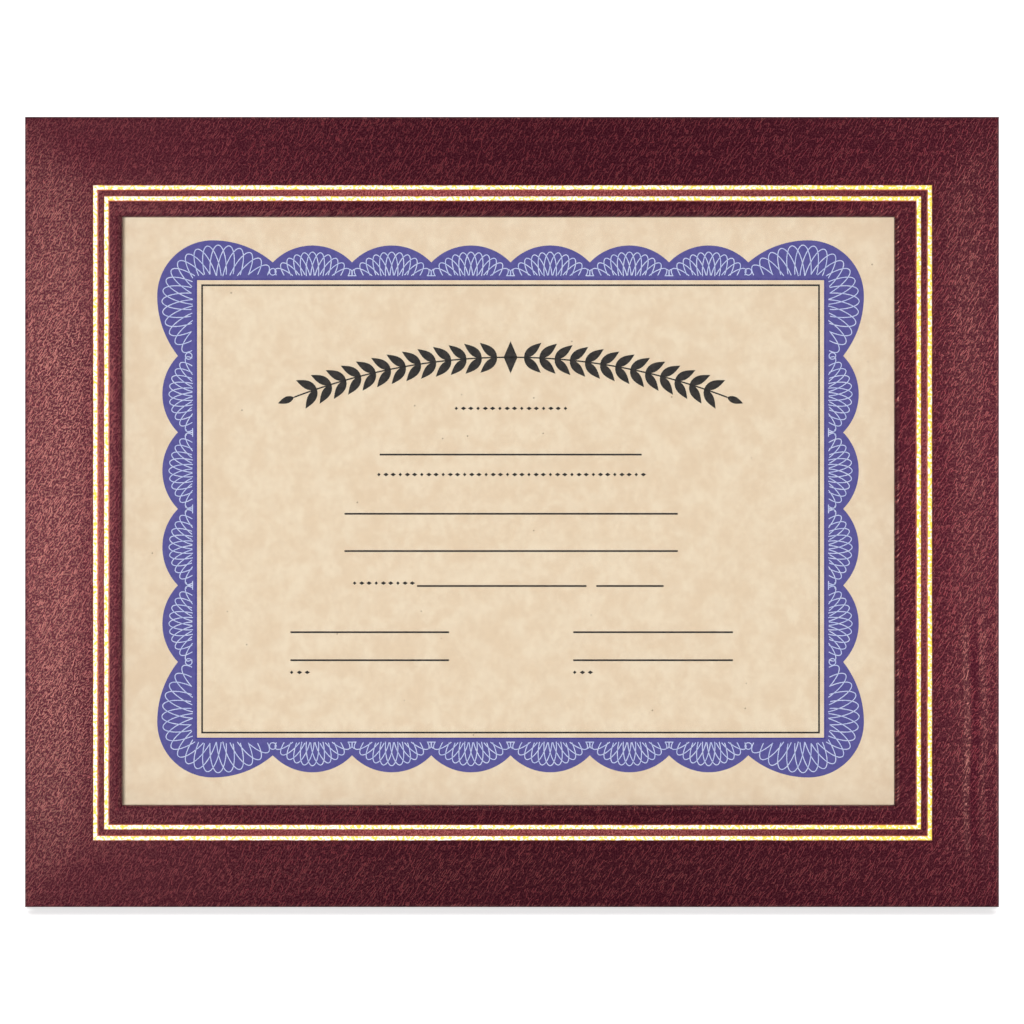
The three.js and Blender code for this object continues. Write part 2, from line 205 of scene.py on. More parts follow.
# Ruled lines and rows of beads: left end, right end and height, from the middle of the print
rule_width = 0.62
rules = (
    (-45.3, 45.4, 18.8),
    (-57.5, 57.9, -1.7),
    (-57.5, 57.9, -14.6),
    (-32.4, 26.3, -26.7),
    (29.7, 53.0, -26.7),
    (-76.2, -21.3, -42.7),
    (21.7, 77.0, -42.7),
    (-76.2, -21.3, -52.4),
    (21.7, 77.0, -52.4),
)
bead_pitch = 2.5
bead_half_lengths = (0.6, 0.95, 0.95)
bead_half_height = 0.62
bead_rows = (
    (-18.8, 19.0, 34.8),
    (-45.6, 46.0, 11.9),
    (-54.0, -34.0, -25.7),
    (-75.8, -70.4, -56.6),
    (22.2, 27.6, -56.6),
)

# Stay ribbon
ribbon_width = 12
ribbon_thickness = 0.5
ribbon_tab = 14
ribbon_on_back = 60
ribbon_on_leg = 95
ribbon_sag = 0.9
ribbon_clear = 0.06
selvedge_share = 0.72
hinge_y = 2.8
hinge_z = 153.475
leg_front = -0.6
easel_angle = math.radians(24)
leg_bevel = 0.4

# Photograph: the image is 1024 pixels wide, and this much of the face's plane fills it
view_width = 353.65
camera_distance = 4000
sensor_width = 36

# Lamps: watts and metres. Places run to the right, ahead and up the face, from its middle
front_lamp_power = 103
front_lamp_size = (0.5, 0.24)
front_lamp_place = (-0.26, 3.2, -0.06)
wing_lamp_powers = ((-1, 6.5), (1, 4))
wing_lamp_size = (0.4, 0.6)
wing_lamp_place = (1, 0.6, 0)
overhead_lamp_power = 4.6
overhead_lamp_size = (0.9, 0.6)
overhead_lamp_place = (0, 0.65, 1.1)
side_lamp_size = (0.09, 0.24)
side_lamp_spread = math.radians(90)
world_strength = 0.12

# Lamps placed in the row frame: the rear ones from the face's middle, the ceiling one from the origin
rear_lamp_power = 16
rear_lamp_size = (0.6, 0.6)
rear_lamp_place = (0.9, 0.9, 0.75)
ceiling_lamp_power = 132
ceiling_lamp_size = (5, 6)
ceiling_lamp_place = (0, -0.5, 2.4)

# Side lamps: millimetres outward and forward from the middle of the side, then watts
side_lamps = ((-35, 190, 0.195), (75, 155, 0.142))

# Floor: metres to its edge, its white and glow where it is seen, and what it throws back
floor_reach = 12
floor_white = 0.8
floor_glow = 0.55
floor_bounce = 0.26

rear_foot_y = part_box("back_lining")[0].y * 1000 + lining_thickness * math.cos(lean)


# Places and meshes

def to_row(points):
    """The holder's millimetres to metres in the row frame."""
    p = np.asarray(points, float)
    y = p[..., 1] * math.cos(lean) + p[..., 2] * math.sin(lean) + rear_foot_y
    z = p[..., 2] * math.cos(lean) - p[..., 1] * math.sin(lean)
    return np.stack([p[..., 0], y, z], axis=-1) / 1000


def row_point(x, y, z):
    return Vector(to_row([x, y, z]))


front = Vector((0, -math.cos(lean), math.sin(lean)))
upward = Vector((0, math.sin(lean), math.cos(lean)))
face_middle = row_point(0, face_y, frame_height / 2)


def add_object(name, data):
    item = bpy.data.objects.new(name, data)
    bpy.context.scene.collection.objects.link(item)
    return item


def add_piece(name, points, faces, material, body, crease_angle=40):
    mesh = bpy.data.meshes.new(name)
    mesh.from_pydata(to_row(points).tolist(), [], faces)
    build = bmesh.new()
    build.from_mesh(mesh)
    bmesh.ops.remove_doubles(build, verts=build.verts, dist=1e-7)
    bmesh.ops.recalc_face_normals(build, faces=build.faces)
    build.to_mesh(mesh)
    build.free()
    mesh.shade_smooth()
    mesh.set_sharp_from_angle(angle=math.radians(crease_angle))
    mesh.materials.append(material)
    piece = add_object(name, mesh)
    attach(piece, body)
    return piece


def outer_edge(inset):
    half = frame_width / 2 - inset
    return (-half, half, inset, frame_height - inset)


def gold_edge(inset):
    left, right, bottom, top = outer_edge(inset)
    across, up = gold_shift
    return (left + across, right + across, bottom + up, top + up)


def window_edge(growth):
    left, right, bottom, top = outer_edge(rail_width - growth)
    across, up = window_shift
    return (left + across, right + across, bottom + up, top + up)


def around(edge, y, steps, moves=None):
    """Points round a rectangle. Moves shift them inwards, each by its own amount."""
    left, right, bottom, top = edge
    across, up = steps
    t_across = np.arange(across) / across
    t_up = np.arange(up) / up
    x = np.concatenate([
        left + (right - left) * t_across,
        np.full(up, right),
        right - (right - left) * t_across,
        np.full(up, left),
    ])
    z = np.concatenate([
        np.full(across, bottom),
        bottom + (top - bottom) * t_up,
        np.full(across, top),
        top - (top - bottom) * t_up,
    ])
    if moves is not None:
        inward_x = np.concatenate([np.zeros(across), -np.ones(up), np.zeros(across), np.ones(up)])
        inward_z = np.concatenate([np.ones(across), np.zeros(up), -np.ones(across), np.zeros(up)])
        x = x + inward_x * moves
        z = z + inward_z * moves
    return np.stack([x, np.full(len(x), float(y)), z], axis=-1)


def tube_faces(levels, count):
    """Four-sided faces of a ring whose section is a closed row of levels."""
    faces = []
    for level in range(levels):
        following = (level + 1) % levels
        for place in range(count):
            after = (place + 1) % count
            faces.append((
                level * count + place,
                level * count + after,
                following * count + after,
                following * count + place,
            ))
    return faces


def smooth_step(low, high, value):
    t = np.clip((value - low) / (high - low), 0, 1)
    return t * t * (3 - 2 * t)


# Node materials

class Nodes:
    """A material's node tree, with short names for the nodes used here."""

    def __init__(self, name):
        self.material = bpy.data.materials.new(name)
        self.material.use_nodes = True
        self.tree = self.material.node_tree
        self.tree.nodes.clear()
        self.output = self.add("ShaderNodeOutputMaterial")
        self.shader = self.add("ShaderNodeBsdfPrincipled")
        self.join(self.shader.outputs["BSDF"], self.output.inputs["Surface"])
        self.place = self.add("ShaderNodeTexCoord").outputs["Object"]
        self.dimensions = "3D"

    def add(self, kind, **settings):
        node = self.tree.nodes.new(kind)
        for key, value in settings.items():
            setattr(node, key, value)
        return node

    def join(self, source, target):
        self.tree.links.new(source, target)

    def feed(self, target, value):
        if isinstance(value, bpy.types.NodeSocket):
            self.join(value, target)
        else:
            target.default_value = value

    def set(self, **values):
        for name, value in values.items():
            self.feed(self.shader.inputs[name.replace("_", " ")], value)

    def along(self, place, direction):
        """How far a place lies in a direction."""
        node = self.add("ShaderNodeVectorMath", operation="DOT_PRODUCT")
        self.feed(node.inputs[0], place)
        self.feed(node.inputs[1], direction)
        return node.outputs["Value"]

    def flat(self, place, across, up):
        """Flat coordinates, measured along two directions."""
        node = self.add("ShaderNodeCombineXYZ")
        self.join(self.along(place, across), node.inputs["X"])
        self.join(self.along(place, up), node.inputs["Y"])
        return node.outputs["Vector"]

    def split(self, place):
        node = self.add("ShaderNodeSeparateXYZ")
        self.join(place, node.inputs["Vector"])
        return node.outputs

    def on_face(self):
        """Flat coordinates on the holder's face. A shear carries them on over its edges."""
        self.place = self.flat(self.place, Vector((1, 0, 0)) - front, upward - 0.7 * front)
        self.dimensions = "2D"

    def sideways(self):
        return self.split(self.place)["X"]

    def vector_math(self, operation, first, second=(0, 0, 0)):
        node = self.add("ShaderNodeVectorMath", operation=operation)
        self.feed(node.inputs[0], first)
        self.feed(node.inputs[1], second)
        return node.outputs["Vector"]

    def face_places(self):
        """Metres in from the outline, across and up, in step with the gold lines, and the depth."""
        across, up = gold_shift
        middle = Vector((across, frame_height / 2 + up + rear_foot_y * math.sin(lean), 0)) / 1000
        half = Vector((frame_width, frame_height, 0)) / 2000
        offset = self.vector_math("SUBTRACT", self.flat(self.place, (1, 0, 0), upward), middle)
        inset = self.split(self.vector_math("SUBTRACT", half, self.vector_math("ABSOLUTE", offset)))
        back = self.along(self.place, -front)
        depth = self.math("SUBTRACT", back, rear_foot_y * math.cos(lean) / 1000)
        return inset["X"], inset["Y"], depth

    def distance(self, value, goal):
        return self.math("ABSOLUTE", self.math("SUBTRACT", value, goal))

    def texture(self, kind, place, scale, **settings):
        node = self.add(kind, **settings)
        self.join(place or self.place, node.inputs["Vector"])
        node.inputs["Scale"].default_value = scale
        return node

    def noise(self, size, detail=2, roughness=0.5, place=None):
        """Noise with lumps about this many millimetres wide, from 0 to 1."""
        node = self.texture("ShaderNodeTexNoise", place, 1000 / size, noise_dimensions=self.dimensions)
        node.inputs["Detail"].default_value = detail
        node.inputs["Roughness"].default_value = roughness
        return node.outputs["Fac"]

    def cells(self, size, feature, place=None):
        settings = {"feature": feature, "voronoi_dimensions": self.dimensions}
        return self.texture("ShaderNodeTexVoronoi", place, 1000 / size, **settings).outputs["Distance"]

    def stirred(self, size, amount):
        """Coordinates pushed about by noise, by up to this many millimetres."""
        push = self.texture("ShaderNodeTexNoise", None, 1000 / size, noise_dimensions=self.dimensions)
        centred = self.vector_math("SUBTRACT", push.outputs["Color"], (0.5, 0.5, 0.5))
        scaled = self.add("ShaderNodeVectorMath", operation="SCALE")
        self.join(centred, scaled.inputs[0])
        scaled.inputs["Scale"].default_value = amount / 500
        return self.vector_math("ADD", self.place, scaled.outputs["Vector"])

    def stretched(self, x, y, z):
        return self.texture("ShaderNodeMapping", None, (x, y, z)).outputs["Vector"]

    def waves(self, pitch, axis):
        scale = 1000 / pitch * math.pi / 10
        return self.texture("ShaderNodeTexWave", None, scale, bands_direction=axis).outputs["Fac"]

    def math(self, operation, first, second=0.0):
        node = self.add("ShaderNodeMath", operation=operation)
        self.feed(node.inputs[0], first)
        self.feed(node.inputs[1], second)
        return node.outputs["Value"]

    def range(self, value, low, high, to_low, to_high):
        node = self.add("ShaderNodeMapRange", interpolation_type="SMOOTHSTEP")
        self.join(value, node.inputs["Value"])
        for name, number in (("From Min", low), ("From Max", high), ("To Min", to_low), ("To Max", to_high)):
            node.inputs[name].default_value = number
        return node.outputs["Result"]

    def mix(self, share, first, second):
        node = self.add("ShaderNodeMix", data_type="RGBA")
        colours = [s for s in node.inputs if s.type == "RGBA"]
        self.feed(node.inputs["Factor"], share)
        for socket, colour in zip(colours, (first, second)):
            self.feed(socket, colour if isinstance(colour, bpy.types.NodeSocket) else (*colour, 1))
        return next(s for s in node.outputs if s.type == "RGBA")

    def bump(self, height, depth, strength=1.0):
        """A normal from a height of 0 to 1, this many millimetres deep."""
        node = self.add("ShaderNodeBump")
        self.join(height, node.inputs["Height"])
        node.inputs["Distance"].default_value = depth / 1000
        node.inputs["Strength"].default_value = strength
        self.join(node.outputs["Normal"], self.shader.inputs["Normal"])

    def show_mixed(self, share, first, second):
        """Two shaders mixed, in place of the usual one."""
        node = self.add("ShaderNodeMixShader")
        for socket, value in zip(node.inputs, (share, first, second)):
            self.join(value, socket)
        self.join(node.outputs["Shader"], self.output.inputs["Surface"])
        self.tree.nodes.remove(self.shader)


def wrinkle_lines(m, place):
    """Thin lines where slanted noise passes its middle value, broken here and there, fainter at the left."""
    slanted = m.flat(place, (1, -wrinkle_lean, 0), (0, wrinkle_squeeze, 0))
    shifted = m.vector_math("ADD", slanted, (wrinkle_width / 1000, 0, 0))
    here = m.math("SUBTRACT", m.noise(wrinkle_size, 1, 0.5, slanted), 0.5)
    beside = m.math("SUBTRACT", m.noise(wrinkle_size, 1, 0.5, shifted), 0.5)
    passed = m.math("LESS_THAN", m.math("MULTIPLY", here, beside), 0.0)
    broken = m.range(m.noise(wrinkle_breaks, 2), 0.38, 0.54, 0.0, 1.0)
    # The lines are fainter at the left; their lighter colour is partly a painted highlight, so that is
    # fainter there too
    strength = m.range(m.sideways(), -0.20, -0.10, 0.6, 1.0)
    return m.math("MULTIPLY", passed, m.math("MULTIPLY", broken, strength))


def gold_tints(m, across, up, depth):
    """Shares of two tints on the face: the pale strip between the gold lines, partly pressed paler and partly
    a painted sheen, and a painted glow at the edge of each.
    """
    outer, inner = (inset / 1000 for inset in gold_insets)
    inset = m.math("MINIMUM", across, up)
    ahead = m.range(depth, *(y / 1000 for y in tint_depths), 0.0, 1.0)
    from_strip = m.distance(inset, (outer + inner) / 2)
    pressed = m.range(from_strip, *(half / 1000 for half in strip_half_width), 1.0, 0.0)
    # Painted sheen: the pale strip is full along the top and bottom, weaker on the sides, and fades towards
    # the corners
    level = m.range(m.math("SUBTRACT", across, up), -0.001, 0.001, strip_on_sides, 1.0)
    along = m.range(m.math("MAXIMUM", across, up), 0.0, strip_fade / 1000, 0.0, 1.0)
    pale = m.math("MULTIPLY", m.math("MULTIPLY", pressed, ahead), m.math("MULTIPLY", level, along))
    # Painted glow: a warm fringe painted round each gold line
    from_outer = m.distance(inset, outer + glow_middle / 1000)
    from_inner = m.distance(inset, inner + glow_middle / 1000)
    near = m.math("MINIMUM", from_outer, from_inner)
    edge = m.range(near, *(half / 1000 for half in glow_half_width), 1.0, 0.0)
    return pale, m.math("MULTIPLY", edge, ahead)


def leatherette_material():
    """Burgundy vinyl: fine shiny wrinkles that lean to the right, over a ground of small flecks. Both are
    painted lighter, as grain colour and partly as a painted highlight.

    Next to the gold lines a warm glow is painted into its colour. Between them it is pressed paler, with a
    painted sheen that is full along the top and bottom, weaker on the sides and fading at the corners.
    """
    m = Nodes("burgundy_leatherette")
    face_places = m.face_places()
    m.on_face()
    place = m.stirred(3.0, 0.30)
    line = wrinkle_lines(m, place)
    dots = m.noise(fleck_size, 1, 0.5, m.flat(place, (1, -fleck_lean, 0), (0, fleck_squeeze, 0)))
    fleck = m.range(dots, 0.42, 0.62, 0.0, 1.0)
    shine = m.math("MULTIPLY", fleck, m.range(m.sideways(), -0.15, 0.0, 0.52, 0.36))
    grain = m.math("MAXIMUM", line, shine)
    m.bump(grain, grain_depth)
    pale, gold_glow = gold_tints(m, *face_places)
    # Flecks painted lighter: grain colour, and partly a painted highlight
    body = m.mix(fleck, (0.046, 0.0066, 0.0140), (0.072, 0.0094, 0.0186))
    # Wrinkles painted lighter: grain colour, and partly a painted highlight of their shine
    wrinkles_and_sheen = m.mix(line, body, (0.205, 0.0290, 0.0420))
    # Pale strip between the gold lines: partly pressed paler, partly a painted sheen
    with_pale_strip = m.mix(pale, wrinkles_and_sheen, m.mix(fleck, (0.212, 0.0385, 0.0445), (0.505, 0.1380, 0.1320)))
    # Painted glow of the gold lines on the leatherette
    m.set(Base_Color=m.mix(gold_glow, with_pale_strip, (0.600, 0.1650, 0.0900)))
    m.set(Roughness=m.range(grain, 0.0, 1.0, 0.36, 0.27))
    m.set(Specular_IOR_Level=m.range(grain, 0.0, 1.0, 0.06, 1.0))
    m.set(Specular_Tint=(1.0, 0.52, 0.40, 1.0))
    return m.material


def foam_material():
    m = Nodes("foam")
    pores = m.cells(0.9, "F1", m.stirred(2, 0.5))
    # Darker in the pore hollows: painted shade
    m.set(Base_Color=m.mix(m.range(pores, 0.1, 0.6, 0, 1), (0.42, 0.38, 0.31), (0.72, 0.68, 0.60)))
    m.set(Roughness=0.95)
    m.bump(pores, 0.3)
    return m.material


def gold_foil_material():
    """Stamped foil: pale patches are a painted highlight, fewer of them to the right, and it is deeper gold
    where it lies in the grain.
    """
    m = Nodes("gold_foil")
    m.on_face()
    patch = m.noise(0.95, 2, 0.6, m.stirred(1.6, 0.4))
    # Fewer pale patches to the right: the painted highlight is painted dimmer there
    patches_and_painted_dimming = m.math("ADD", patch, m.range(m.sideways(), 0.02, 0.08, 0.0, 0.07))
    deep = m.range(patches_and_painted_dimming, 0.475, 0.565, 0.0, 1.0)
    # The pale colour is a painted highlight; the deep colour is the foil's own gold
    m.set(Base_Color=m.mix(deep, (0.79, 0.76, 0.68), (0.81, 0.60, 0.06)))
    m.set(Metallic=0.06, Specular_IOR_Level=0.15)
    m.set(Roughness=m.range(patch, 0.3, 0.7, 0.34, 0.46))
    m.bump(patch, 0.06)
    return m.material


def parchment_material():
    m = Nodes("parchment")
    cloud = m.noise(7.5, 4, 0.62, m.stirred(14, 3))
    fibre = m.noise(2.4, 1, 0.5, m.stretched(1, 0.8, 0.8))
    tone = m.mix(m.range(cloud, 0.34, 0.66, 0, 1), (0.780, 0.610, 0.442), (0.836, 0.692, 0.526))
    grain = m.mix(m.range(fibre, 0.3, 0.7, 0.0, 0.24), tone, (0.700, 0.525, 0.370))
    speck = m.math("MULTIPLY", m.range(m.cells(9, "F1"), 0.028, 0.04, 1, 0), 0.55)
    m.set(Base_Color=m.mix(speck, grain, (0.16, 0.10, 0.06)))
    m.set(Roughness=0.88, Specular_IOR_Level=0.2)
    m.bump(fibre, 0.02)
    return m.material


def ink_material(name, colour, tint):
    m = Nodes(name)
    m.set(Base_Color=m.mix(m.range(m.noise(1.6, 3, 0.6), 0.35, 0.7, 0, 1), colour, tint))
    m.set(Roughness=0.7, Specular_IOR_Level=0.2)
    return m.material


def clear_plastic_material():
    """A clear sheet: it shows what is behind it, and shines more the flatter the view."""
    m = Nodes("clear_plastic")
    through = m.add("ShaderNodeBsdfTransparent")
    through.inputs["Color"].default_value = (0.985, 0.99, 0.985, 1)
    shine = m.add("ShaderNodeBsdfGlossy")
    m.join(m.range(m.noise(18, 2), 0.3, 0.7, 0.015, 0.035), shine.inputs["Roughness"])
    facing = m.add("ShaderNodeLayerWeight")
    share = m.math("MULTIPLY_ADD", m.math("POWER", facing.outputs["Facing"], 5.0), 0.96)
    share.node.inputs[2].default_value = 0.035
    m.show_mixed(share, through.outputs["BSDF"], shine.outputs["BSDF"])
    return m.material


def board_material(name, dark, light, flake):
    """Pressed board with flattened fibres."""
    m = Nodes(name)
    fibre = m.noise(flake, 4, 0.7, m.stretched(0.5, 1, 1.6))
    m.set(Base_Color=m.mix(m.range(fibre, 0.3, 0.7, 0, 1), dark, light))
    m.set(Roughness=0.9, Specular_IOR_Level=0.2)
    m.bump(fibre, 0.06)
    return m.material


def black_paper_material():
    """Black paper embossed with a fine linen, rubbed grey here and there."""
    m = Nodes("black_paper")
    across = m.waves(0.9, "X")
    up = m.waves(0.9, "Z")
    linen = m.math("MULTIPLY", across, up)
    rub = m.range(m.noise(18, 5, 0.65), 0.5, 0.8, 0.0, 0.5)
    m.set(Base_Color=m.mix(rub, (0.013, 0.012, 0.014), (0.034, 0.032, 0.034)))
    m.set(Roughness=m.range(m.noise(2.5, 3), 0.3, 0.7, 0.58, 0.74))
    m.bump(linen, 0.10, 0.8)
    return m.material


def black_board_material():
    m = Nodes("black_board")
    grain = m.cells(1.0, "SMOOTH_F1", m.stirred(2.4, 0.6))
    rub = m.range(m.noise(22, 5, 0.7), 0.5, 0.8, 0.0, 0.6)
    m.set(Base_Color=m.mix(rub, (0.014, 0.013, 0.015), (0.042, 0.040, 0.042)))
    m.set(Roughness=m.range(m.noise(3, 3), 0.3, 0.7, 0.5, 0.66))
    m.bump(grain, 0.12, 0.8)
    return m.material


def steel_material():
    """Nickel-plated steel with fine rolling marks."""
    m = Nodes("plated_steel")
    marks = m.noise(0.25, 3, 0.6, m.stretched(0.06, 1, 1))
    smear = m.noise(4, 3)
    m.set(Base_Color=m.mix(m.range(smear, 0.3, 0.7, 0, 1), (0.44, 0.43, 0.42), (0.58, 0.57, 0.56)))
    m.set(Metallic=1.0)
    m.set(Roughness=m.range(marks, 0.3, 0.7, 0.22, 0.36))
    m.bump(marks, 0.01)
    return m.material


def ribbon_material():
    """Black woven tape: ribs across it, with finer threads along it."""
    m = Nodes("black_ribbon")
    ribs = m.waves(0.8, "Z")
    threads = m.waves(0.5, "X")
    weave = m.math("MULTIPLY", ribs, threads)
    # Darker between the threads: painted shade in the weave's hollows
    m.set(Base_Color=m.mix(weave, (0.006, 0.006, 0.007), (0.030, 0.030, 0.034)))
    m.set(Roughness=0.8, Sheen_Weight=0.25)
    m.bump(weave, 0.12)
    return m.material


# Padded cover

def crown_y(x, z, depth):
    """Depth of the padded face. It falls towards the outer edge, softly round the corners."""
    half = frame_width / 2
    from_side = np.minimum(x + half, half - x)
    from_end = np.minimum(z, frame_height - z)
    near = np.minimum(from_side, from_end)
    round_off = np.maximum(corner_softness - np.abs(from_side - from_end), 0) ** 2 / (4 * corner_softness)
    inset = np.maximum(near - round_off * smooth_step(0, corner_softness, near), edge_radius)
    share = np.clip((inset - edge_radius) / (crown_inset - edge_radius), 0, 1)
    return face_y + depth + crown_drop * 0.5 * (1 + np.cos(math.pi * share))


def slack(x, z):
    """The cover's unevenness: slow swells, and one pressed crease down the right-hand rail."""
    half = frame_width / 2
    near = np.minimum(np.minimum(x + half, half - x), np.minimum(z, frame_height - z))
    mask = smooth_step(*swell_begins, near) * (1 - smooth_step(*swell_ends, near))
    places = [Vector((a / swell_size, b / swell_size, swell_seed)) for a, b in zip(x, z)]
    swell = np.array([noise.noise(place) for place in places])
    line = half - crease_inset + crease_sway * np.sin(z / crease_sway_length)
    length = smooth_step(*crease_foot, z) * (1 - smooth_step(*crease_head, z))
    dent = np.exp(-((x - line) / crease_width) ** 2)
    ridge = np.exp(-((x - line - ridge_offset) / ridge_width) ** 2)
    return mask * swell_height * swell + crease_depth * (dent - ridge_share * ridge) * length


def roll(edge_at, radius, centre_y, depth, steps=8):
    bend = radius - depth
    angles = np.linspace(0, math.pi / 2, steps + 1)
    return [(edge_at(radius - bend * math.cos(a)), centre_y - bend * math.sin(a)) for a in angles]


def sill(depth, steps=14):
    """The face turning down into the window, in a quarter of an ellipse."""
    turns = np.linspace(0, math.pi / 2, steps + 1)
    return [
        (
            window_edge(sill_width - (sill_width - depth) * math.sin(t)),
            face_y + sill_drop - (sill_drop - depth) * math.cos(t),
        )
        for t in turns
    ]


def crown_levels(steps=22):
    """Levels on the padded face, whose depth is worked out point by point."""
    insets = np.linspace(edge_radius, crown_inset, steps + 1)[1:]
    return [(outer_edge(inset), None) for inset in insets]


def face_ring(levels, depth, steps):
    rows = []
    for edge, y in levels:
        row = around(edge, face_y if y is None else y, steps)
        if y is None:
            row[:, 1] = crown_y(row[:, 0], row[:, 2], depth) + slack(row[:, 0], row[:, 2])
        rows.append(row)
    return np.concatenate(rows)


def groove(middle):
    """The groove that a gold line lies in, from its outer to its inner side."""
    half = groove_width / 2
    side = [
        (half + groove_support, face_y),
        (half + groove_shoulder, face_y),
        (half, face_y + groove_lip),
        (half - groove_slope, face_y + groove_depth),
    ]
    outer_side = [(gold_edge(middle - away), y) for away, y in side]
    inner_side = [(gold_edge(middle + away), y) for away, y in side[::-1]]
    return outer_side + inner_side


def rear_wrap(edge_at, turn_in):
    """The cover's rear corner and turned-in edge, from the wall to the end of the turn-in."""
    rounded = rear_bevel_round * rear_bevel
    return [
        (edge_at(0), panel_rear_y - rear_bevel),
        (edge_at(rounded), panel_rear_y - rounded),
        (edge_at(rear_bevel), panel_rear_y),
        (edge_at(turn_in), panel_rear_y),
    ]


def leatherette_cover():
    wall_y = (panel_rear_y + roll_centre_y) / 2
    outside = rear_wrap(outer_edge, outer_turn_in)[::-1]
    outside += [(outer_edge(0), wall_y)]
    outside += roll(outer_edge, edge_radius, roll_centre_y, 0)
    outside += crown_levels()
    outside += groove(gold_insets[0]) + groove(gold_insets[1])
    outside += sill(0)
    outside += [(window_edge(0), wall_y)]
    outside += rear_wrap(window_edge, inner_turn_in)
    t = leather_thickness
    inside = [(outer_edge(outer_turn_in), panel_rear_y - t), (outer_edge(t), panel_rear_y - t)]
    inside += roll(outer_edge, edge_radius, roll_centre_y, t)
    inside += crown_levels()
    inside += sill(t)
    inside += [(window_edge(t), panel_rear_y - t), (window_edge(inner_turn_in), panel_rear_y - t)]
    points = np.concatenate([face_ring(outside, 0, cover_steps), face_ring(inside[::-1], t, cover_steps)])
    faces = tube_faces(len(outside) + len(inside), 2 * sum(cover_steps))
    vinyl = leatherette_material()
    piece = add_piece("leatherette", points, faces, vinyl, "holder", crease_angle=50)
    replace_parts(piece, "leatherette_cover")
    return piece


def foam_ring():
    depth = leather_thickness + seam
    levels = [(outer_edge(depth), pad_rear_y)]
    levels += roll(outer_edge, edge_radius, roll_centre_y, depth)
    levels += crown_levels()
    levels += sill(depth) + [(window_edge(depth), pad_rear_y)]
    points = face_ring(levels, depth, foam_steps)
    faces = tube_faces(len(levels), 2 * sum(foam_steps))
    piece = add_piece("foam", points, faces, foam_material(), "holder")
    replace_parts(piece, "foam_pad")
    return piece


def ragged_edge(base, seed, side):
    """How far each point of a foil line's edge strays, in small steps over slow ones."""
    rough = [noise.noise(Vector((p[0] / rough_size, p[2] / rough_size, seed + 5 * side))) for p in base]
    slow = [noise.noise(Vector((p[0] / slow_size, p[2] / slow_size, seed + 9 + side))) for p in base]
    return gold_ragged * (rough_share * np.array(rough) + slow_share * np.array(slow))


def gold_line(name, node, middle, seed, material):
    """A foil line with a slightly uneven edge, as stamped into grain."""
    floor = face_y + foil_floor
    top = floor - foil_thickness
    base = around(gold_edge(middle), 0, foil_steps)
    outer_stray, inner_stray = (ragged_edge(base, seed, side) for side in (0, 1))
    half = gold_width / 2
    flat = foil_flat_share * half
    section = [
        (middle - half, outer_stray, floor),
        (middle - half, outer_stray, top + foil_edge_drop),
        (middle - flat, 0.5 * outer_stray, top),
        (middle + flat, -0.5 * inner_stray, top),
        (middle + half, -inner_stray, top + foil_edge_drop),
        (middle + half, -inner_stray, floor),
    ]
    rows = [around(gold_edge(inset), y, foil_steps, moves) for inset, moves, y in section]
    faces = tube_faces(len(section), 2 * sum(foil_steps))
    piece = add_piece(name, np.concatenate(rows), faces, material, "holder")
    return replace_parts(piece, node)


# Print on the certificate

class Ink:
    """Flat printed shapes, gathered into one thin mesh. X and Z are measured from the middle of the print."""

    def __init__(self, layer):
        self.points = []
        self.faces = []
        self.front_y = paper_front_y - ink_thickness * (layer + 1)
        self.rear_y = paper_front_y - ink_gap

    def corners(self, outline, y):
        start = len(self.points)
        self.points += [(print_middle[0] + x, y, print_middle[1] + z) for x, z in outline]
        return list(range(start, len(self.points)))

    def shape(self, outline):
        ahead = self.corners(outline, self.front_y)
        behind = self.corners(outline, self.rear_y)
        self.faces += [ahead, behind[::-1]]
        for i in range(len(outline)):
            j = (i + 1) % len(outline)
            self.faces.append([ahead[i], ahead[j], behind[j], behind[i]])

    def line(self, path, width, closed=False):
        """A line of this width along a path."""
        p = np.asarray(path, float)
        if closed:
            along = np.roll(p, -1, axis=0) - np.roll(p, 1, axis=0)
        else:
            along = np.gradient(p, axis=0)
        along = along / np.maximum(np.linalg.norm(along, axis=1, keepdims=True), 1e-9)
        side = np.stack([-along[:, 1], along[:, 0]], axis=-1) * width / 2
        self.strip(p + side, p - side, closed)

    def strip(self, left, right, closed):
        """A strip between two paths, with its rear and its walls."""
        rows = [
            self.corners(left, self.front_y),
            self.corners(right, self.front_y),
            self.corners(right, self.rear_y),
            self.corners(left, self.rear_y),
        ]
        count = len(left)
        for i in range(count if closed else count - 1):
            j = (i + 1) % count
            for a in range(4):
                b = (a + 1) % 4
                self.faces.append([rows[a][i], rows[a][j], rows[b][j], rows[b][i]])
        if not closed:
            self.faces += [[row[0] for row in rows], [row[-1] for row in rows][::-1]]

    def frame(self, half_width, half_height, width):
        """A rectangle's outline, with square corners."""
        inner = [(-half_width, -half_height), (half_width, -half_height)]
        inner += [(half_width, half_height), (-half_width, half_height)]
        outer = [(x + math.copysign(width, x), z + math.copysign(width, z)) for x, z in inner]
        self.strip(outer, inner, closed=True)

    def finish(self, name, material):
        return add_piece(name, self.points, self.faces, material, "sheet", crease_angle=30)


def lobe_sides():
    """The band's sides, anticlockwise from the bottom: start, direction, outward, length and lobes."""
    w, h = half_band
    return [
        ((-w, -h), (1, 0), (0, -1), 2 * w, lobes_across),
        ((w, -h), (0, 1), (1, 0), 2 * h, lobes_up),
        ((w, h), (-1, 0), (0, 1), 2 * w, lobes_across),
        ((-w, h), (0, -1), (-1, 0), 2 * h, lobes_up),
    ]


def on_side(side, along, out):
    (x, z), direction, outward, _, _ = side
    return (x + direction[0] * along + outward[0] * out, z + direction[1] * along + outward[1] * out)


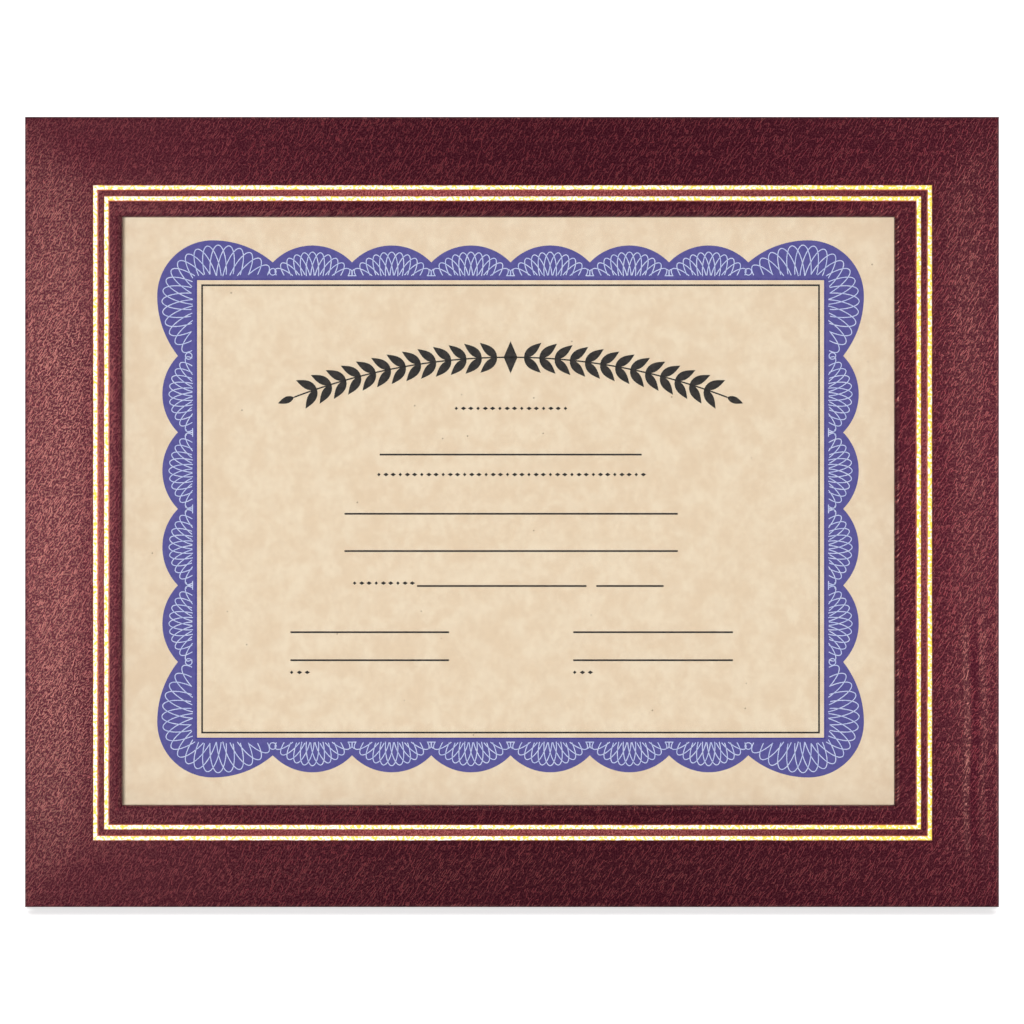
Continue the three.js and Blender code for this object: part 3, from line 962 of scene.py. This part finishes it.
def shoulder(length, drop, start):
    """An arc from a lobe's cusp up to the corner's round, as (along, out) from the side's start."""
    radius = (length ** 2 + drop ** 2) / (2 * drop)
    spread = math.asin(length / radius)
    angles = [spread * (1 - i / shoulder_points) for i in range(shoulder_points)]
    top = corner_radius - corner_sink
    return [(start + radius * math.sin(a), top - radius * (1 - math.cos(a))) for a in angles]


def band_outline():
    """The scalloped outer edge of the band: round corners, and lobes between them."""
    path = []
    top = corner_radius - corner_sink
    for side in lobe_sides():
        length, lobes = side[3], side[4]
        pitch = (length - 2 * corner_arm) / lobes
        cusp = math.sqrt(lobe_radius ** 2 - (pitch / 2) ** 2) - lobe_sink
        rise = shoulder(corner_arm - corner_sink, top - cusp, corner_sink)
        path += [on_side(side, a, o) for a, o in rise[::-1]]
        spread = math.asin(pitch / 2 / lobe_radius)
        for lobe in range(lobes):
            middle = corner_arm + pitch * (lobe + 0.5)
            last = lobe == lobes - 1
            for step in range(lobe_steps + last):
                angle = spread * (2 * step / lobe_steps - 1)
                out = lobe_radius * math.cos(angle) - lobe_sink
                path.append(on_side(side, middle + lobe_radius * math.sin(angle), out))
        path += [on_side(side, length - a, o) for a, o in rise[1:]]
        for step in range(corner_steps + 1):
            angle = math.pi / 2 * step / corner_steps
            along = length - corner_sink + corner_radius * math.sin(angle)
            path.append(on_side(side, along, corner_radius * math.cos(angle) - corner_sink))
    return path


def nearest_on_band(x, z):
    w, h = half_band
    return (min(max(x, -w), w), min(max(z, -h), h))


def loop(middle, lean_angle, reach, half_length, half_width, count=72):
    """A long oval in a fan: its far end is this far from the fan's middle."""
    s, c = math.sin(lean_angle), math.cos(lean_angle)
    points = []
    for i in range(count + 1):
        turn = 2 * math.pi * i / count - math.pi
        out = reach - half_length + half_length * math.cos(turn)
        aside = half_width * math.sin(turn)
        points.append((middle[0] + out * s + aside * c, middle[1] + out * c - aside * s))
    return points


def runs(points, keep):
    """The unbroken stretches of a path that are to be kept."""
    found, current = [], []
    for point in points:
        if keep(*point):
            current.append(point)
            continue
        if len(current) > 2:
            found.append(current)
        current = []
    if len(current) > 2:
        found.append(current)
    return found


def lobe_loops(ink, side, middle, pitch):
    """The fan of loops in one lobe, cut off along a straight base."""
    fan = (middle, -lobe_sink)
    for place in range(-loops_aside, loops_aside + 1):
        oval = loop(fan, math.radians(loop_step * place), loop_reach, loop_half_length, loop_half_width)
        for run in runs(oval, lambda a, o: o > loop_base and abs(a - middle) < pitch / 2):
            ink.line([on_side(side, a, o) for a, o in run], thread)


def lobe_join(ink, side, along):
    """The small stem, foot and two hooks where two fans meet."""
    ink.line([on_side(side, along, loop_base + height) for height in stem_heights], stem_thread)
    ink.line([on_side(side, along + place, loop_base + foot_height) for place in foot_places], thread)
    for way in (-1, 1):
        hook = []
        for step in range(hook_steps + 1):
            angle = math.pi / 2 * step / hook_steps
            aside = way * hook_radius * (1 - math.cos(angle))
            hook.append(on_side(side, along + aside, loop_base + hook_height + hook_radius * math.sin(angle)))
        ink.line(hook, thread)


def corner_join(ink, side, along):
    """The small ring where a corner's loops meet a side's."""
    circle = []
    for step in range(eyelet_steps):
        angle = 2 * math.pi * step / eyelet_steps
        out = loop_base + eyelet_height + eyelet_radius * math.sin(angle)
        circle.append(on_side(side, along + eyelet_radius * math.cos(angle), out))
    ink.line(circle, thread, closed=True)


def corner_loops(ink, x_sign, z_sign):
    """Loops round one corner: a fan on the round, and one along each arm."""
    w, h = half_band

    def kept(a, b):
        return (a > loop_base or b > loop_base) and min(a, b) > -corner_arm

    def draw(oval):
        for run in runs(oval, kept):
            ink.line([(x_sign * (w + a), z_sign * (h + b)) for a, b in run], thread)

    size = (corner_loop_half_length, corner_loop_half_width)
    for place in range(fan_loops):
        draw(loop((-fan_sink, -fan_sink), math.radians(fan_step * place), fan_radius, *size))
    for place in range(1, shoulder_loops + 1):
        oval = loop((-fan_sink, -shoulder_sink), math.radians(-shoulder_step * place), shoulder_radius, *size)
        draw(oval)
        draw([(b, a) for a, b in oval])


def guilloche():
    ink = Ink(2)
    for side in lobe_sides():
        length, lobes = side[3], side[4]
        pitch = (length - 2 * corner_arm) / lobes
        for lobe in range(lobes):
            lobe_loops(ink, side, corner_arm + pitch * (lobe + 0.5), pitch)
        for joint in range(1, lobes):
            lobe_join(ink, side, corner_arm + pitch * joint)
        corner_join(ink, side, corner_arm)
        corner_join(ink, side, length - corner_arm)
    for x_sign in (-1, 1):
        for z_sign in (-1, 1):
            corner_loops(ink, x_sign, z_sign)
    return ink.finish("border_threads", ink_material("pale_ink", (0.50, 0.56, 0.84), (0.66, 0.70, 0.90)))


def blue_band():
    ink = Ink(0)
    outer = band_outline()
    ink.strip(outer, [nearest_on_band(x, z) for x, z in outer], closed=True)
    return ink.finish("border_band", ink_material("blue_ink", (0.080, 0.072, 0.280), (0.100, 0.088, 0.305)))


def band_edge():
    ink = Ink(1)
    w, h = half_band
    ink.frame(w, h, band_rim)
    deep_blue = ink_material("deep_blue_ink", (0.045, 0.035, 0.235), (0.060, 0.048, 0.260))
    return ink.finish("border_rim", deep_blue)


def leaf(base, direction, length, width):
    """A pointed leaf: out along one side to the tip, and back along the other."""
    side = (-direction[1], direction[0])
    outline = []
    for way in (1, -1):
        for step in range(leaf_steps):
            t = step / leaf_steps if way == 1 else 1 - step / leaf_steps
            out = way * width / 2 * math.sin(math.pi * t ** leaf_fullness)
            outline.append((
                base[0] + direction[0] * length * t + side[0] * out,
                base[1] + direction[1] * length * t + side[1] * out,
            ))
    return outline


def garland(ink):
    """An arched sprig where the certificate's heading goes: leaves in pairs, growing from the middle."""
    half_angle = garland_half_angle

    def on_arch(angle):
        drop = garland_radius * (1 - math.cos(angle))
        return (garland_radius * math.sin(angle), garland_height - drop)

    ink.line([on_arch(half_angle * (i / 60 - 1)) for i in range(121)], garland_stem)
    pitch = leaf_pitch / garland_radius
    for way in (-1, 1):
        for place in range(int((half_angle - garland_margin) / pitch)):
            angle = way * (first_leaf + pitch * place)
            for turn in (-1, 1):
                heading = math.pi / 2 - angle - way * math.pi / 2 + turn * leaf_turn
                direction = (math.cos(heading), math.sin(heading))
                ink.shape(leaf(on_arch(angle), direction, *leaf_size))
        outward = (way * math.cos(half_angle), -math.sin(half_angle))
        ink.shape(leaf(on_arch(way * half_angle), outward, *tip_size))
    lozenge(ink, 0, garland_height, lozenge_half_width, lozenge_half_height)


def lozenge(ink, x, z, half_width, half_height):
    ink.shape([(x - half_width, z), (x, z - half_height), (x + half_width, z), (x, z + half_height)])


def bead_row(ink, left, right, z):
    """A row of small lozenges, for a line of wording."""
    count = max(2, round((right - left) / bead_pitch))
    for place in range(count + 1):
        x = left + (right - left) * place / count
        lozenge(ink, x, z, bead_half_lengths[place % 3], bead_half_height)


def wording_places():
    """Ruled lines to write on, and ornaments where a certificate's wording goes."""
    ink = Ink(1)
    w, h = half_band
    ink.frame(w - hairline_gap - hairline, h - hairline_gap - hairline, hairline)
    garland(ink)
    for left, right, z in rules:
        ink.line([(left, z), (left / 2 + right / 2, z), (right, z)], rule_width)
    for left, right, z in bead_rows:
        bead_row(ink, left, right, z)
    black = ink_material("black_ink", (0.012, 0.010, 0.010), (0.030, 0.024, 0.022))
    return ink.finish("wording_print", black)


# Stay ribbon

def on_leg(along):
    """A point of the ribbon's middle on the leg, this far down from the hinge."""
    y = leg_front - seam - ribbon_thickness / 2
    s, c = math.sin(easel_angle), math.cos(easel_angle)
    return np.array([hinge_y + y * c + along * s, hinge_z + y * s - along * c])


def ribbon_path():
    """Side view of the ribbon, as (Y, Z): flat on the back, across with a little sag, flat on the leg."""
    back_y = seam + ribbon_thickness / 2
    back_z = hinge_z - ribbon_on_back
    start = np.array([back_y, back_z + ribbon_tab / 2])
    leave = np.array([back_y, back_z - ribbon_tab / 2])
    arrive = on_leg(ribbon_on_leg - ribbon_tab / 2)
    end = on_leg(ribbon_on_leg + ribbon_tab / 2)
    path = [start + (leave - start) * t for t in np.linspace(0, 0.9, 8)]
    for t in np.linspace(0.04, 0.96, 24):
        path.append(leave + (arrive - leave) * t + np.array([0, -ribbon_sag * math.sin(math.pi * t)]))
    path += [arrive + (end - arrive) * t for t in np.linspace(0.1, 1, 8)]
    return np.array(path)


def stay_ribbon():
    path = ribbon_path()
    along = np.gradient(path, axis=0)
    along = along / np.linalg.norm(along, axis=1, keepdims=True)
    normal = np.stack([-along[:, 1], along[:, 0]], axis=-1)
    across = np.linspace(-0.5, 0.5, 9)
    section = [(a, 0.5) for a in across] + [(a, -0.5) for a in across[::-1]]
    points = []
    for place, out in zip(path, normal):
        for a, face in section:
            thin = selvedge_share if a in (across[0], across[-1]) else 1
            y, z = place + out * face * thin * (ribbon_thickness - ribbon_clear)
            points.append((a * ribbon_width, y, z))
    count = len(section)
    faces = tube_faces(len(path), count)[:-count]
    faces.append(tuple(range(count)))
    faces.append(tuple(range((len(path) - 1) * count, len(path) * count))[::-1])
    tape = ribbon_material()
    piece = add_piece("ribbon", points, faces, tape, "holder", crease_angle=60)
    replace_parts(piece, "stay_ribbon")
    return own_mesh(piece)


# Solids that keep their own shape

def dress(names, material, bevel=0.0):
    for name in names:
        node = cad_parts[name]
        node.data.materials.clear()
        node.data.materials.append(material)
        if bevel:
            edge = node.modifiers.new("edges", "BEVEL")
            edge.width = bevel / 1000
            edge.segments = 2
            edge.limit_method = "ANGLE"
            edge.angle_limit = math.radians(40)


def dress_solids():
    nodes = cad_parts
    steel = [n for n in nodes if "rivet" in n or n.startswith(("hinge_", "hanger_"))]
    dress(steel, steel_material())
    dress(["certificate"], parchment_material())
    dress(["clear_lens"], clear_plastic_material())
    fibre = board_material("fibreboard", (0.19, 0.115, 0.062), (0.33, 0.22, 0.13), 1.2)
    dress(["front_board", "back_board"], fibre)
    chip = board_material("chipboard", (0.20, 0.18, 0.15), (0.36, 0.33, 0.28), 0.9)
    dress(["spacer_bottom", "spacer_left", "spacer_right"], chip)
    dress(["back_lining"], black_paper_material())
    dress(["easel_leg"], black_board_material(), leg_bevel)


# Studio

def floor_material():
    """White with a little glow where it is seen, and grey to the light that it throws back."""
    m = Nodes("floor")
    path = m.add("ShaderNodeLightPath")
    seen = path.outputs["Is Camera Ray"]
    for name in ("Is Glossy Ray", "Is Transmission Ray"):
        seen = m.math("MAXIMUM", seen, path.outputs[name])
    grey = m.add("ShaderNodeBsdfDiffuse")
    grey.inputs["Color"].default_value = (floor_bounce, floor_bounce, floor_bounce, 1)
    white = m.add("ShaderNodeBsdfDiffuse")
    white.inputs["Color"].default_value = (floor_white, floor_white, floor_white, 1)
    glow = m.add("ShaderNodeEmission")
    glow.inputs["Strength"].default_value = floor_glow
    glowing = m.add("ShaderNodeAddShader")
    m.join(white.outputs["BSDF"], glowing.inputs[0])
    m.join(glow.outputs["Emission"], glowing.inputs[1])
    m.show_mixed(seen, grey.outputs["BSDF"], glowing.outputs["Shader"])
    return m.material


def add_floor():
    mesh = bpy.data.meshes.new("floor")
    corners = [(x * floor_reach, y * floor_reach, 0) for x, y in ((-1, -1), (1, -1), (1, 1), (-1, 1))]
    mesh.from_pydata(corners, [], [(0, 1, 2, 3)])
    mesh.materials.append(floor_material())
    floor = add_object("floor", mesh)
    return floor


def add_world():
    world = bpy.data.worlds.new("studio")
    world.use_nodes = True
    background = world.node_tree.nodes["Background"]
    background.inputs["Color"].default_value = (1, 1, 1, 1)
    background.inputs["Strength"].default_value = world_strength
    bpy.context.scene.world = world


def aim(item, place, direction):
    item.location = place
    item.rotation_mode = "QUATERNION"
    item.rotation_quaternion = direction.to_track_quat("-Z", "Y")


def add_softbox(name, place, target, size, power):
    lamp = bpy.data.lights.new(name, "AREA")
    lamp.shape = "RECTANGLE"
    lamp.size, lamp.size_y = size
    lamp.energy = power
    softbox = add_object(name, lamp)
    aim(softbox, place, target - place)
    softbox.visible_camera = False
    return softbox


def light_only(lamp, pieces):
    """The lamp lights these pieces alone."""
    lit = bpy.data.collections.new(lamp.name + "_lit")
    for piece in pieces:
        lit.objects.link(piece)
    lamp.light_linking.receiver_collection = lit
    return lit


def light_all_but(lamp, pieces):
    for member in light_only(lamp, pieces).collection_objects:
        member.light_linking.link_state = "EXCLUDE"


def from_face(right, ahead, up):
    return face_middle + Vector((right, 0, 0)) + front * ahead + upward * up


def add_lights(cover, floor):
    """A lamp beside the camera for all but the leatherette, and lamps above and at the sides for that alone.

    The photo's sheet is evenly lit, while its leatherette is bright at the sides and dark along the middle.
    Two lamps behind light the back, and one overhead lights the floor alone.
    """
    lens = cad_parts["clear_lens"]
    place = from_face(*front_lamp_place)
    lamp = add_softbox("front_lamp", place, face_middle, front_lamp_size, front_lamp_power)
    light_all_but(lamp, [cover, lens])
    for side, wing_power in wing_lamp_powers:
        right, behind, above = rear_lamp_place
        place = face_middle + Vector((right * side, behind, above))
        lamp = add_softbox("rear_lamp", place, face_middle, rear_lamp_size, rear_lamp_power)
        light_all_but(lamp, [floor])
        right, ahead, up = wing_lamp_place
        place = from_face(right * side, ahead, up)
        light_only(add_softbox("wing_lamp", place, face_middle, wing_lamp_size, wing_power), [cover])
    place = from_face(*overhead_lamp_place)
    lamp = add_softbox("overhead_lamp", place, face_middle, overhead_lamp_size, overhead_lamp_power)
    light_only(lamp, [cover])
    place = Vector(ceiling_lamp_place)
    below = Vector((place.x, place.y, 0))
    light_only(add_softbox("ceiling_lamp", place, below, ceiling_lamp_size, ceiling_lamp_power), [floor])
    for outward, forward, power in side_lamps:
        side = math.copysign(frame_width / 2, outward)
        place = row_point(side + outward, face_y - forward, frame_height / 2)
        edge = row_point(side, face_y, frame_height / 2)
        strip = add_softbox("side_lamp", place, edge, side_lamp_size, power)
        strip.data.spread = side_lamp_spread
        light_only(strip, [cover])


def add_camera():
    lens = bpy.data.cameras.new("camera")
    lens.sensor_width = sensor_width
    lens.lens = sensor_width * camera_distance / view_width
    lens.clip_start = 0.05
    lens.clip_end = 60
    camera = add_object("camera", lens)
    aim(camera, face_middle + front * camera_distance / 1000, -front)
    bpy.context.scene.camera = camera


cover = leatherette_cover()
foam_ring()
foil = gold_foil_material()
gold_line("foil_line_outer", "gold_line_outer", gold_insets[0], foil_seeds[0], foil)
gold_line("foil_line_inner", "gold_line_inner", gold_insets[1], foil_seeds[1], foil)
blue_band()
band_edge()
guilloche()
wording_places()
stay_ribbon()
dress_solids()

floor = add_floor()
add_world()
add_lights(cover, floor)
add_camera()
bpy.context.scene.view_settings.view_transform = "Standard"
